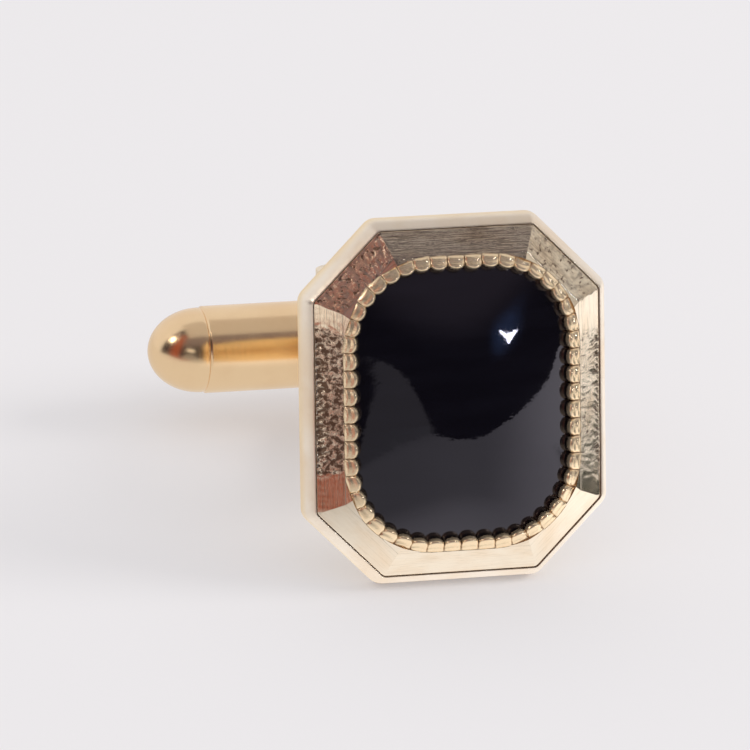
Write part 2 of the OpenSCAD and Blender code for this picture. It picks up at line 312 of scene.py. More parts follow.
# %% A wire and a finish
class Wire:
    """An output of a shader node. Sums with it add Math nodes."""

    def __init__(self, tree, socket):
        self.tree, self.socket = tree, socket

    def math(self, operation, other=0.0, swapped=False, clamp=False):
        """A Math node on this wire and another value, or on the two swapped."""
        node = self.tree.nodes.new("ShaderNodeMath")
        node.operation, node.use_clamp = operation, clamp
        for place, value in zip(node.inputs, (other, self) if swapped else (self, other)):
            plug(self.tree, place, value)
        return Wire(self.tree, node.outputs[0])

    def __add__(self, other):
        return self.math("ADD", other)

    def __sub__(self, other):
        return self.math("SUBTRACT", other)

    def __rsub__(self, other):
        return self.math("SUBTRACT", other, swapped=True)

    def __mul__(self, other):
        return self.math("MULTIPLY", other)

    __radd__, __rmul__ = __add__, __mul__

    def rising(self, low, high):
        """0 below low, 1 above high, and a straight rise between them."""
        return ((self - low) * (1 / (high - low))).math("ADD", clamp=True)


def plug(tree, place, value):
    """Links a wire or an output to a socket, or sets the socket's own number, vector or colour."""
    if isinstance(value, Wire):
        value = value.socket
    if isinstance(value, bpy.types.NodeSocket):
        tree.links.new(value, place)
    elif place.type == "RGBA":
        place.default_value = (*value, 1)
    else:
        place.default_value = value


def add_node(tree, kind, settings=None, sockets=None):
    """A node of any tree: its settings, then its sockets by identifier."""
    node = tree.nodes.new(kind)
    for key, value in (settings or {}).items():
        setattr(node, key, value)
    for key, value in (sockets or {}).items():
        plug(tree, next(s for s in node.inputs if s.identifier == key), value)
    return node


class Finish:
    """A material in the making."""

    def __init__(self, name):
        self.material = bpy.data.materials.new(name)
        self.material.use_nodes = True
        self.tree = self.material.node_tree
        self.tree.nodes.clear()

    def node(self, kind, settings=None, sockets=None, output=0):
        """Any shader node, wrapped."""
        node = add_node(self.tree, "ShaderNode" + kind, settings, sockets)
        return Wire(self.tree, node.outputs[output]) if node.outputs else None

    def attribute(self, name):
        """A number that the mesh carries at its points or faces."""
        return self.node("Attribute", {"attribute_name": name}, output=2)

    def drawing(self):
        """A point's place on the drawing, in millimetres, however the cufflink leans."""
        turn = Matrix.Rotation(lean, 3, "X")
        move = Vector((0, BAR_REACH, 0)) - turn @ (pin_place / MM)
        place = self.node("TexCoord", output=3)
        return self.node("Mapping", {}, {"Vector": place, "Location": move,
                                         "Rotation": (lean, 0, 0), "Scale": (1 / MM,) * 3})

    def noise(self, place, per_mm, detail=3, roughness=0.5):
        """Noise by its waves per millimetre: one number, or three along the axes."""
        if isinstance(per_mm, tuple):
            place = self.node("VectorMath", {"operation": "MULTIPLY"},
                              {"Vector": place, "Vector_001": per_mm})
            per_mm = 1.0
        return self.node("TexNoise", {}, {"Vector": place, "Scale": per_mm, "Detail": detail,
                                          "Roughness": roughness})

    def mixed(self, share, first, second):
        """A colour between two colours."""
        return self.node("Mix", {"data_type": "RGBA"},
                         {"Factor_Float": share, "A_Color": first, "B_Color": second}, output=2)

    def surface(self, colour, roughness, metallic=1.0, height=None, depth_mm=0.0, **fixed):
        """The shader itself. Height is a pattern from 0 to 1 that stands depth_mm high."""
        sockets = {"Base Color": colour, "Roughness": roughness, "Metallic": metallic, **fixed}
        if height is not None:
            sockets["Normal"] = self.node("Bump", {}, {"Height": height, "Strength": 1.0,
                                                       "Distance": depth_mm * MM})
        return self.ended(self.node("BsdfPrincipled", {}, sockets))

    def glow(self, colour, strength=1.0):
        return self.node("Emission", {}, {"Color": colour, "Strength": strength})

    def ended(self, shader):
        """The material, once its shader is at the output."""
        self.node("OutputMaterial", {}, {"Surface": shader})
        return self.material


print("helpers ready")

# %% [markdown]
# ## Polished gold
# Plated metal that has been worn for years is never one tone. Broad clouds of tarnish make it a
# little darker and redder, a buffing wheel leaves fine parallel hairlines, and wear adds a few
# longer scratches. All three come from noise, and the hairlines and scratches can be stretched
# along one direction.

# %% Gold that was polished
GOLD = (0.96, 0.84, 0.68)
WARM_GOLD = (0.86, 0.62, 0.38)


def polished_gold(name, colour, tarnish, along, roughness, scratch_mm=0.0015, unworn=None):
    """Buffed metal. Along is how many hairlines there are to a millimetre on each axis, fewest
    where they run. Where the plating is unworn, at the face's back, it can be deeper in colour."""
    finish = Finish(name)
    place = finish.drawing()
    if unworn:
        back = finish.node("SeparateXYZ", {}, {"Vector": place}, output=1).rising(0.5, 1.3)
        colour = finish.mixed(back, colour, unworn)
    clouds = finish.noise(place, 0.35, detail=4).rising(0.42, 0.75)
    hairlines = finish.noise(place, along, detail=5, roughness=0.65)
    scratched = finish.noise(place, tuple(0.7 * along[k] for k in (1, 2, 0)))
    scratches = 1 - (scratched - 0.5).math("ABSOLUTE").rising(0.0, 0.006)
    smudges = finish.noise(place, 1.3, detail=6, roughness=0.6)
    tone = finish.mixed(clouds * 0.6 + scratches * 0.15, colour, tarnish)
    return finish.surface(tone, smudges.rising(0.3, 0.8) * 0.08 + scratches * 0.05 + roughness,
                          height=hairlines * 0.7 - scratches * 0.3, depth_mm=scratch_mm)


rim_gold = polished_gold("rim_gold", (1.0, 0.88, 0.74), WARM_GOLD, (5, 5, 5), 0.3, 0.008,
                         unworn=(1.0, 0.75, 0.39))
back_gold = polished_gold("back_gold", (0.93, 0.77, 0.53), WARM_GOLD, (0.5, 8, 14), 0.2, 0.003)
bar_gold = polished_gold("bar_gold", (0.95, 0.69, 0.42), (0.86, 0.58, 0.33), (0.6, 12, 12), 0.18)
pin_brass = polished_gold("pin_brass", (0.9, 0.74, 0.46), WARM_GOLD, (6, 6, 6), 0.18)
print("polished finishes:", [m.name for m in (rim_gold, back_gold, bar_gold, pin_brass)])

# %% [markdown]
# ## Textured facets
# The maker drew a file along the facets and then roughened those at the sides. So the material
# follows the surface: its UV map runs along the facets in millimetres, and an attribute on the
# faces says how rough each facet is. Points that sit below a facet's plane, in its pits and
# notches, are painted dark, and so are streaks along the file on the filed facets.

# %% Gold that was filed and pitted
finish = Finish("facet_gold")
surface_mm = finish.node("UVMap", {"uv_map": "along_across"})
side_shift, rough_share, file_share, sunk = (
    finish.attribute(name) for name in ("side_shift", "rough_share", "file_share", "sunk"))
shifted = finish.node("VectorMath", {"operation": "ADD"},
                      {"Vector": surface_mm,
                       "Vector_001": finish.node("CombineXYZ", {}, {"Z": side_shift})})
filed = finish.noise(shifted, (0.8, 12, 3), detail=6, roughness=0.7)
grain = finish.noise(shifted, (3.9, 3.2, 1), detail=5, roughness=0.72)
patches = finish.noise(shifted, (0.5, 0.9, 1))
pitted = (rough_share * 0.17 + 0.32 - grain).rising(0.0, 0.08) * rough_share.rising(0.1, 0.4)
pits = pitted.math("MAXIMUM", sunk)
streaks = (1 - filed.rising(0.38, 0.52)) * file_share
# Painted darker where a point sits below the facet's plane, and along the file's streaks
dark_marks = (pits * 0.9).math("MAXIMUM", streaks * patches.rising(0.2, 0.6) * 0.66)
tone = finish.mixed(patches.rising(0.4, 0.7) * 0.5 + file_share * 0.25, GOLD, (0.88, 0.67, 0.46))
tone = finish.mixed(dark_marks, tone, (0.1, 0.042, 0.022))
facet_gold = finish.surface(
    tone, rough_share * 0.06 + dark_marks * 0.2 + patches * 0.06 + 0.11,
    height=filed * file_share * 0.8 + grain * rough_share * 1.1, depth_mm=0.02)
print("facet finish:", facet_gold.name)

# %% [markdown]
# ## Cast lobes
# The lobes round the stone were cast and then brushed over. Their skin scatters some light, so
# they are not fully metallic and stay bright where they face the dark room. The grooves between
# them are painted dark as shade: an attribute that each lobe carries says how deep a point is.

# %% Gold of the lobes
finish = Finish("lobe_gold")
place = finish.drawing()
mottle = finish.noise(place, 3.2, detail=5, roughness=0.6)
fine = finish.noise(place, 14.0)
groove = finish.attribute("groove")
tone = finish.mixed(mottle.rising(0.45, 0.8) * 0.6, (1.0, 0.79, 0.53), (1.0, 0.71, 0.44))
# Painted shade in the grooves between the lobes
tone = finish.mixed(groove * (mottle * 0.4 + 0.5), tone, (0.22, 0.1, 0.045))
lobe_gold = finish.surface(tone, mottle.rising(0.3, 0.7) * 0.1 + groove * 0.2 + 0.15, metallic=0.84,
                           height=mottle * 0.7 + fine * 0.3, depth_mm=0.03)
print("lobe finish:", lobe_gold.name)

# %% [markdown]
# ## Black stone, cement and spring steel
# Polished black onyx is a dark body under a glassy surface. All that one sees of it is what it
# mirrors, so its colour is nearly black and its detail is in the gloss: a slight haze, and a
# surface that is not quite even. The cement and the leaf are hidden, and still get a finish.

# %% Stone and hidden pieces
finish = Finish("black_onyx")
place = finish.drawing()
haze = finish.noise(place, 0.5, detail=4, roughness=0.6)
bands = finish.noise(place, (0.25, 0.25, 1.4), detail=2)
tone = finish.mixed(bands.rising(0.4, 0.7) * 0.7, (0.0011, 0.0011, 0.0026), (0.0026, 0.0026, 0.005))
black_onyx = finish.surface(tone, haze.rising(0.4, 0.8) * 0.05 + 0.03, metallic=0.0,
                            height=haze, depth_mm=0.01,
                            **{"IOR": 1.65, "Specular Tint": (0.92, 0.86, 1.0)})

finish = Finish("grey_cement")
lumps = finish.noise(finish.drawing(), 2.0, detail=6, roughness=0.7)
grey_cement = finish.surface(
    finish.mixed(lumps.rising(0.3, 0.7), (0.3, 0.28, 0.24), (0.44, 0.42, 0.37)),
    lumps * 0.2 + 0.7, metallic=0.0, height=lumps, depth_mm=0.05)

finish = Finish("spring_steel")
rolled = finish.noise(finish.drawing(), (0.6, 12, 12), detail=5, roughness=0.6)
spring_steel = finish.surface(
    finish.mixed(rolled.rising(0.3, 0.7), (0.5, 0.51, 0.53), (0.6, 0.6, 0.61)),
    rolled * 0.15 + 0.2, height=rolled, depth_mm=0.004)
print("stone and hidden finishes ready")

# %% [markdown]
# ## Tray
# The face's back and rim are one shallow dish. Its section is drawn once, from the floor inside
# over the rim to the back, and swept round the octagon. The rim is rolled: from its inner edge it
# falls away outwards in one round, so that it mirrors the bright room beside the face and shines
# all the way round.

# %% Tray
rim_counts = [1] * SIDES
HOLE_R = FOOT_D / 2 + FIT_GAP
SEAM_IN, SEAM_OUT = RIM_W + 0.015, BEZEL_INSET - 0.01
CORNER_OUT, CORNER_IN = 0.75, 0.35
ROLL_FIRST, ROLL_STEP = 40, 5
BACK_R, BACK_LAND, BACK_SHARES = 0.3, 1.2, (0.5, 0.85, 1.0)
roll_r = SEAM_IN / (1 - math.sin(math.radians(ROLL_FIRST)))
roll_depth = roll_r * math.cos(math.radians(ROLL_FIRST))
roll = [(roll_r * (1 - math.sin(a)), roll_depth - roll_r * math.cos(a), 0)
        for a in (math.radians(t) for t in range(ROLL_FIRST + ROLL_STEP, 91, ROLL_STEP))]
section = fillet([(SEAM_IN, FLOOR_Y, 0), (SEAM_IN, 0, FINE_R), *roll, (0, TRAY_DEPTH, BACK_R),
                  (BACK_LAND, TRAY_DEPTH, 0)], steps=6)
rings = [octagon_ring(inset, level, CORNER_OUT + (CORNER_IN - CORNER_OUT) * min(1, inset / RIM_W),
                      rim_counts) for inset, level in section]
back_edge = [Vector((x, z)) for x, _, z in rings[-1]]
for share in BACK_SHARES:
    rings.append([(v.x + (v.normalized().x * HOLE_R - v.x) * share, TRAY_DEPTH,
                   v.y + (v.normalized().y * HOLE_R - v.y) * share) for v in back_edge])
rings.append([(x, FLOOR_Y, z) for x, _, z in rings[-1]])
dish = publish("rim_dish", skin(rings, endless=True))
install(dish, "setting", "tray", rim_gold)

# %% [markdown]
# ## Facets
# Eight flat facets slope up towards the stone and meet at mitres. They are cut into small faces,
# less than a tenth of a millimetre wide, so that the work of the file is real shape: each point
# moves up to a tenth of a millimetre in or out, by a noise that is the same on every run. The
# upright facets are smooth at both ends and notched along their outer edges. The mesh also gets
# the UV map and the attributes that its material reads.

# %% Points of the facets
FACET_ROWS, FACET_FOOT_Y, FACET_FOOT_R, STEPS_PER_MM = 20, 0.07, 0.04, 13
CORNER_LEAST, CORNER_FADE = 0.12, 4
NOTCH_PITCH, NOTCH_LEN, NOTCH_DEEP, NOTCH_FINE = 0.3, 0.6, 0.08, 0.02
WAVE_RISE, DENT_RISE, SUNK_FROM, SUNK_SPAN = 0.007, 0.024, 0.008, 0.03
ROUGH_SHARES = [0.62, 0.8, 0.12, 0.9, 1.38, 0.05, 0.03, 0.05]
SMOOTH_FROM = {0: (-3.8, 3.1), 4: (-3.1, 3.8)}
FILE_SHARES = [0.35, 0.4, 1.0, 0.5, 0.6, 0.12, 0.15, 0.12]
facet_counts = [round(math.dist(*ends) * STEPS_PER_MM) for ends in SIDE_ENDS]
profile = fillet([
    (SEAM_OUT, FLOOR_Y, 0), (SEAM_OUT, FACET_FOOT_Y, FACET_FOOT_R),
    (SEAT_INSET, FACET_TOP_Y, SOFT_R), (SEAT_INSET + 0.5, FACET_TOP_Y, 0)], steps=3)[:-1]
foot = profile.index(min(profile[1:5], key=lambda p: p[1]))
crest = foot + 1
slope = [tuple(a + (b - a) * k / FACET_ROWS for a, b in zip(profile[foot], profile[crest]))
         for k in range(1, FACET_ROWS)]
section = profile[:foot + 1] + slope + profile[crest:]
rings = [octagon_ring(
    inset, level, CORNER_IN * max(CORNER_LEAST, 1 - CORNER_FADE * (inset - SEAM_OUT)),
    facet_counts) for inset, level in section]
rim_ring = rings[foot]


def lengths(points):
    """How far along a line of points each of them is."""
    out = [0.0]
    for here, there in zip(points, points[1:]):
        out.append(out[-1] + math.dist(here, there))
    return out


along_mm, across_mm = lengths(rim_ring + rim_ring[:1]), lengths(section)
print(f"{len(rim_ring)} points round the facets, {along_mm[-1]:.1f} mm")


# %% The work of the file
def rough_at(side, z):
    """How rough a facet is. The two upright ones are left smooth at their ends."""
    low, high = SMOOTH_FROM.get(side, (-FACE_H, FACE_H))
    kept = rising(z, low - 0.3, low + 0.3) * (1 - rising(z, high - 0.2, high + 0.2))
    return ROUGH_SHARES[side] * (0.06 + 0.94 * kept)


def file_work(side, along, across, rough):
    """How far the file left a point of a facet above or below its plane, in millimetres."""
    wave = noise.noise(Vector((along / 1.7, across / 0.8, side * 3.7)))
    dents = noise.noise(Vector((along / 0.17, across / 0.36, side * 5.3 + 40)))
    beat = 0.5 + 0.5 * math.cos(math.tau * along / NOTCH_PITCH + 9 * wave)
    reach = NOTCH_LEN * (0.8 + 1.4 * noise.noise(Vector((along / 0.45, side * 2.9, 11))))
    notch = beat * max(0.0, 1 - (across - across_mm[foot]) / max(0.05, reach))
    notch_depth = NOTCH_DEEP if side in SMOOTH_FROM else NOTCH_FINE
    return WAVE_RISE * wave + rough * (DENT_RISE * dents - notch_depth * notch)


# The flat direction that each side faces, and the side that each step round the ring is on
facings = [Vector((z1 - z0, x0 - x1)).normalized() for (x0, z0), (x1, z1) in SIDE_ENDS]
sides = [side for side, count in enumerate(facet_counts) for _ in range(CORNER_STEPS + count)]
sunk_shares = {}
facet_tilt = math.atan2(FACET_RISE, FACET_W)
for row in range(foot + 1, foot + FACET_ROWS):
    fade = min(1.0, 5 * math.sin(math.pi * (row - foot) / FACET_ROWS))
    for i, (x, y, z) in enumerate(rings[row]):
        out = facings[sides[i]]
        lift = fade * file_work(sides[i], along_mm[i], across_mm[row], rough_at(sides[i], z))
        # How far a point sits below the facet's plane: the facet finish paints such points dark
        sunk_shares[row, i] = min(1.0, max(0.0, -lift - SUNK_FROM) / SUNK_SPAN)
        side_push = lift * math.sin(facet_tilt)
        rings[row][i] = (x + out.x * side_push, y - lift * math.cos(facet_tilt),
                         z + out.y * side_push)
print("facets textured")

# %% The facets' mesh
CROWN_SLOPE, SHIFT_STEP, WALL_ROUGH = 0.6, 9.0, 0.1
WALLS_MM = (0.2, 0.6, 0.95, 2.2, 3.0)
crown = cushion_ring(SEAT_INSET, FACET_TOP_Y, rings[-1])
rings.append([(x, y - CROWN_SLOPE * math.dist((x, z), (px, pz)), z)
              for (x, y, z), (px, _, pz) in zip(crown, rings[-1])])
for inset, level in ((SEAT_INSET, LEDGE_Y), (POCKET_INSET, LEDGE_Y), (POCKET_INSET, FLOOR_Y)):
    rings.append(cushion_ring(inset, level, rings[-1]))
across_mm += [across_mm[-1] + k for k in WALLS_MM]
mesh = table_mesh("facet_frame", skin(rings, endless=True))
steps_round = len(rim_ring)
uv_map = mesh.uv_layers.new(name="along_across")
shift, rough, filed = (mesh.attributes.new(name, "FLOAT", "FACE")
                       for name in ("side_shift", "rough_share", "file_share"))
for face in mesh.polygons:
    row, step = divmod(face.index, steps_round)
    marks = [(step, row), (step + 1, row), (step + 1, row + 1), (step, row + 1)]
    for loop, (i, r) in zip(face.loop_indices, marks):
        uv_map.data[loop].uv = (along_mm[i], across_mm[r])
    shift.data[face.index].value = sides[step] * SHIFT_STEP
    filed.data[face.index].value = FILE_SHARES[sides[step]]
    on_facet = foot <= row < foot + FACET_ROWS
    rough.data[face.index].value = (rough_at(sides[step], rings[foot][step][2])
                                    if on_facet else WALL_ROUGH)
sunk = mesh.attributes.new("sunk", "FLOAT", "POINT")
for (row, step), share in sunk_shares.items():
    sunk.data[row * steps_round + step].value = share
clean(mesh, 22)
install(new_object("facet_frame", mesh), "setting", "bezel_frame", facet_gold)

# %% [markdown]
# ## Ring of lobes
# The same lobe stands 52 times round the stone, so Geometry Nodes set it out. The tree draws the
# rounded rectangle, cuts it into equal steps and puts a lobe on each, turned to the path. A
# collar swept along the same path fills the grooves from below. The tree works in a flat plane,
# X across and Y up the face with Z towards the viewer, and the mesh is stood up afterwards. Each
# lobe starts just inside the facets, rises with their slope, and ends in a low round tooth that
# laps the stone.

# %% One lobe
LOBE_SPAN = FACE_W / 2 + FACE_H / 2 - 2 * RING_INSET - 2 * corner_radius(RING_INSET)
RING_PATH = 4 * LOBE_SPAN + math.tau * corner_radius(RING_INSET)
LOBES = round(RING_PATH / LOBE_PITCH)
LOBE_GAP, LOBE_SINK, LOBE_BACK = 0.004, 0.09, 0.1
LOBE_HALF = (RING_PATH / LOBES - LOBE_GAP) / 2
LOBE_REACH, LOBE_RISE = LEDGE_W + RING_LAP - FIT_GAP, 0.95 * RING_RISE
TOOTH_SHARE, CROWN_SHARE, VALLEY_REACH, VALLEY_RISE = 0.97, 0.7, 0.6, 0.3
SHOULDER, SHOULDER_PACE, BEAD_FROM = 0.66, 1.9, 0.58
COLUMNS, ROWS = 16, 8
AROUND = 2 * ROWS + 3
lobe_points, lobe_faces, grooves = [], [], []
for column in range(COLUMNS + 1):
    s = -math.cos(math.pi * column / COLUMNS)
    fullness = math.sqrt(max(0.0, 1 - (s / TOOTH_SHARE) ** 2))
    reach = LOBE_REACH * (VALLEY_REACH + (1 - VALLEY_REACH) * fullness)
    rise = LOBE_RISE * (VALLEY_RISE + (1 - VALLEY_RISE) * fullness)
    # Where the lobe finish paints shade: up to 1 in the groove between two lobes
    grooves += [max(0.0, 1 - 2 * fullness)] * AROUND
    crown_x = CROWN_SHARE * reach
    for row in range(ROWS + 1):
        share = row / ROWS
        climb = (SHOULDER * math.sin(math.pi / 2 * min(1.0, SHOULDER_PACE * share))
                 + (1 - SHOULDER) * rising(share, BEAD_FROM, 1.0))
        lobe_points.append((s * LOBE_HALF, (crown_x + LOBE_BACK) * share - LOBE_BACK,
                            (rise + LOBE_SINK) * climb - LOBE_SINK))
    lobe_points += [(s * LOBE_HALF, crown_x + (reach - crown_x) * math.sin(a), rise * math.cos(a))
                    for a in arc(ROWS)[1:]]
    lobe_points += [(s * LOBE_HALF, y, -LEDGE_DEPTH) for y in (LEDGE_W - FIT_GAP, 0.0)]
for column in range(COLUMNS):
    a, b = column * AROUND, (column + 1) * AROUND
    lobe_faces += [(a + k, a + (k + 1) % AROUND, b + (k + 1) % AROUND, b + k)
                   for k in range(AROUND)]
lobe_faces += [tuple(range(AROUND)), tuple(COLUMNS * AROUND + k for k in range(AROUND))]
lobe_mesh = new_mesh("lobe_pattern", lobe_points, lobe_faces)
lobe_mesh.attributes.new("groove", "FLOAT", "POINT").data.foreach_set("value", grooves)
clean(lobe_mesh, 50)
lobe_pattern = bpy.data.objects.new("lobe_pattern", lobe_mesh)
print(f"{LOBES} lobes, {2 * LOBE_HALF:.3f} mm wide, {len(lobe_mesh.polygons)} faces each")

# %% Inputs of the tree
tree = bpy.data.node_groups.new("ring_of_lobes", "GeometryNodeTree")
TREE_SIZES = {"Width": FACE_W - 2 * RING_INSET, "Height": FACE_H - 2 * RING_INSET,
              "Corner radius": corner_radius(RING_INSET), "Size jitter": 0.035,
              "Collar reach": LEDGE_W * 0.3, "Collar rise": RING_RISE * 0.1}
for label, value in TREE_SIZES.items():
    tree.interface.new_socket(label, socket_type="NodeSocketFloat").default_value = value
for label, kind in (("Lobes", "Int"), ("Lobe", "Object"), ("Finish", "Material")):
    tree.interface.new_socket(label, socket_type="NodeSocket" + kind)
tree.interface.new_socket("Geometry", in_out="OUTPUT", socket_type="NodeSocketGeometry")
inputs = tree.nodes.new("NodeGroupInput").outputs
print("tree inputs:", [s.name for s in inputs if s.name])

# %% The tree
SEED, CORNER_POINTS, COLLAR_POINTS = 7, 48, 208


def geo(kind, output, sockets, settings=None):
    """One output of a new node of the geometry tree."""
    return add_node(tree, kind, settings, sockets).outputs[output]


box_path = geo("GeometryNodeCurvePrimitiveQuadrilateral", "Curve",
               {"Width": inputs["Width"], "Height": inputs["Height"]})
round_path = geo("GeometryNodeFilletCurve", "Curve",
                 {"Curve": box_path, "Radius": inputs["Corner radius"], "Count": CORNER_POINTS},
                 {"mode": "POLY"})
marks = geo("GeometryNodeResampleCurve", "Curve", {"Curve": round_path, "Count": inputs["Lobes"]})
facing = geo("FunctionNodeAlignRotationToVector", "Rotation",
             {"Vector": geo("GeometryNodeInputTangent", "Tangent", {})},
             {"axis": "X", "pivot_axis": "Z"})
smallest, largest = (geo("ShaderNodeMath", 0, {"Value": 1.0, "Value_001": inputs["Size jitter"]},
                         {"operation": operation}) for operation in ("SUBTRACT", "ADD"))
jitter = geo("FunctionNodeRandomValue", 1,
             {"Min_001": smallest, "Max_001": largest, "Seed": SEED}, {"data_type": "FLOAT"})
lobes = geo("GeometryNodeInstanceOnPoints", "Instances", {
    "Points": marks, "Rotation": facing,
    "Instance": geo("GeometryNodeObjectInfo", "Geometry", {"Object": inputs["Lobe"]}),
    "Scale": geo("ShaderNodeCombineXYZ", 0, {"X": 1.0, "Y": jitter, "Z": jitter})})
print("lobes set out")

# %% The collar and the end of the tree
strip = geo("GeometryNodeCurvePrimitiveQuadrilateral", "Curve",
            {"Width": inputs["Collar reach"], "Height": inputs["Collar rise"]})
collar_path = geo("GeometryNodeResampleCurve", "Curve",
                  {"Curve": round_path, "Count": COLLAR_POINTS})
collar = geo("GeometryNodeCurveToMesh", "Mesh", {"Curve": collar_path, "Profile Curve": strip})
both = add_node(tree, "GeometryNodeJoinGeometry")
for part in (lobes, collar):
    tree.links.new(part, both.inputs[0])
solid = geo("GeometryNodeRealizeInstances", 0, {"Geometry": both.outputs[0]})
coated = geo("GeometryNodeSetMaterial", 0, {"Geometry": solid, "Material": inputs["Finish"]})
tree.links.new(coated, tree.nodes.new("NodeGroupOutput").inputs[0])

ring = new_object("lobe_ring", bpy.data.meshes.new("lobe_ring"))
grower = ring.modifiers.new("ring_of_lobes", "NODES")
grower.node_group = tree
values = {**TREE_SIZES, "Lobes": LOBES, "Lobe": lobe_pattern, "Finish": lobe_gold}
for item in tree.interface.items_tree:
    if item.in_out == "INPUT":
        grower[item.identifier] = values[item.name]
settle(ring)
upright = Matrix(((1, 0, 0, 0), (0, 0, -1, FACET_TOP_Y), (0, 1, 0, 0), (0, 0, 0, 1)))
ring.data.transform(to_table @ upright)
clean(ring.data, 50)
install(ring, "setting", "bead_ring", lobe_gold)

# %% [markdown]
# ## Stone
# The stone is a cushion: a rounded rectangle at its edge whose level lines grow into ellipses
# near the top. It is an even dome, so it mirrors a wide part of the room: the table in its lower
# half, the dark room in its upper half, and the window as one bright spot.

# %% Stone
DOME_POWER, DOME_STEPS, DOME_SIDES = 2.1, 40, 192
FOOT_SHARE, FOOT_BEVEL = 0.985, 0.1
lap_rho = 1 - (RING_LAP - STONE_GAP) / (FACE_W / 2 - STONE_INSET)


def dome(rho):
    """Height of the dome, from 1 at the middle to 0 at the edge."""
    return 1 - rho ** DOME_POWER


def stone_ring(rho, level):
    """One level line: an ellipse near the top, the rounded rectangle at the edge."""
    w, h = FACE_W / 2 - STONE_INSET, FACE_H / 2 - STONE_INSET
    ring = []
    for a in arc(DOME_SIDES, math.tau)[:-1]:
        d = Vector((math.cos(a), math.sin(a)))
        ellipse = w * h / math.hypot(h * d.x, w * d.y)
        far = rho * ((1 - rho * rho) * ellipse + rho * rho * edge_at(d, STONE_INSET))
        ring.append((d.x * far, level, d.y * far))
    return ring


stone_edge_y = FACET_TOP_Y + STONE_GAP + STONE_DOME * dome(lap_rho)
rings = [stone_ring(FOOT_SHARE, STONE_BACK_Y), stone_ring(1, STONE_BACK_Y + FOOT_BEVEL)]
for rho in map(math.sin, reversed(arc(DOME_STEPS)[1:])):
    rings.append(stone_ring(rho, stone_edge_y - STONE_DOME * dome(rho)))
stone = publish("domed_stone", skin(rings), sharp_deg=60)
install(stone, "setting", "stone", black_onyx)

# %% [markdown]
# ## Post and fork
# The post is a turned rod with a flared foot, and its tenon is riveted in the fork's base. The
# fork is a thick strap, bent twice. It is cut from two prisms, one with the outline seen from the
# side and one with the outline seen from above, and a Bevel modifier takes off its sharp edges.

# %% Post
RIVET_RISE = 0.12
foot_r, post_r, tenon_r = FOOT_D / 2, POST_D / 2, TENON_D / 2
flare = [(foot_r - (foot_r - post_r) * math.sin(a), TRAY_DEPTH + FLARE_LEN * (1 - math.cos(a)))
         for a in arc(16)]
rivet = [(tenon_r * math.cos(a), SLOT_Y + RIVET_RISE * math.sin(a)) for a in arc(5)[:-1]]
outline = [(foot_r, FLOOR_Y)] + flare + [(post_r, BASE_Y), (tenon_r, BASE_Y)] + rivet
post = publish("turned_post", turned(outline, "post"))
install(post, "setting", "post", back_gold)


# %% Prisms and cuts
def prism(outline, to_3d, low, high):
    """A straight-sided solid on a flat outline, between two levels."""
    n = len(outline)
    points = [to_3d(u, v, level) for level in (low, high) for u, v in outline]
    faces = [(i, (i + 1) % n, n + (i + 1) % n, n + i) for i in range(n)]
    return points, faces + [tuple(range(n)), tuple(range(n, 2 * n))]


def carve(piece, operation, *tools):
    """Cuts a piece with other solids, which are then thrown away."""
    for tool in tools:
        cut = piece.modifiers.new("cut", "BOOLEAN")
        cut.operation, cut.solver, cut.object = operation, "EXACT", tool
    settle(piece)
    for tool in tools:
        bpy.data.objects.remove(tool)


def drill(radius, low, high, axis):
    """A round cutting tool that runs past both ends of its hole."""
    outline = [(radius, low - OVERRUN), (radius, high + OVERRUN)]
    return publish("drill", turned(outline, axis, steps=SMALL_STEPS))


def soften(piece, width_mm):
    """Rounds the sharp edges of a piece."""
    bevel = piece.modifiers.new("soften", "BEVEL")
    bevel.width, bevel.segments = width_mm * MM, 3
    bevel.limit_method, bevel.angle_limit = "ANGLE", math.radians(40)
    settle(piece)


print("cutting tools ready")

# %% Fork
FORK_BEVEL = 0.16
outer_r, end_y = BEND_R + STRAP_T, BAR_REACH + STRAP_W / 2
strap_side = fillet([
    (end_y, ARM_OUT, 0), (BASE_Y, ARM_OUT, outer_r), (BASE_Y, -ARM_OUT, outer_r),
    (end_y, -ARM_OUT, 0), (end_y, -ARM_IN, 0), (SLOT_Y, -ARM_IN, BEND_R),
    (SLOT_Y, ARM_IN, BEND_R), (end_y, ARM_IN, 0)], steps=14)
strap_r = STRAP_W / 2
strap_top = [(-strap_r, BASE_Y - OVERRUN), (strap_r, BASE_Y - OVERRUN)] + [
    (strap_r * math.cos(a), BAR_REACH + strap_r * math.sin(a)) for a in arc(40, math.pi)]
fork = publish("strap_fork", prism(strap_side, lambda u, v, t: (t, u, v), -strap_r, strap_r))
plan = publish("plan", prism(strap_top, lambda u, v, t: (u, v, t),
                             -ARM_OUT - OVERRUN, ARM_OUT + OVERRUN))
carve(fork, "INTERSECT", plan)
carve(fork, "DIFFERENCE", drill(PIN_D / 2 + FIT_GAP, -ARM_OUT, ARM_OUT, "pin"),
      drill(tenon_r + FIT_GAP, BASE_Y, SLOT_Y, "post"))
soften(fork, FORK_BEVEL)
clean(fork.data, 32)
install(fork, "setting", "fork", back_gold)

# %% [markdown]
# ## Pin and bar
# The pin is a length of brass wire whose ends are hammered to low domes. The bar is a tube, and
# its two tips are turned noses on plugs. Where tube and tip meet, both are bevelled, so that a
# fine seam shows, as in the photograph.

# %% Pin
HEAD_EDGE = 0.08
pin_r, head_r = PIN_D / 2, HEAD_D / 2
head = [(pin_r, ARM_OUT), (head_r, ARM_OUT)]
head += [(head_r * math.cos(a), ARM_OUT + HEAD_EDGE + (HEAD_H - HEAD_EDGE) * math.sin(a))
         for a in arc(10)[:-1]]
outline = [(r, -t) for r, t in reversed(head)] + head
pin = publish("riveted_pin", turned(outline, "pin", steps=SMALL_STEPS))
install(pin, "setting", "pivot_pin", pin_brass)

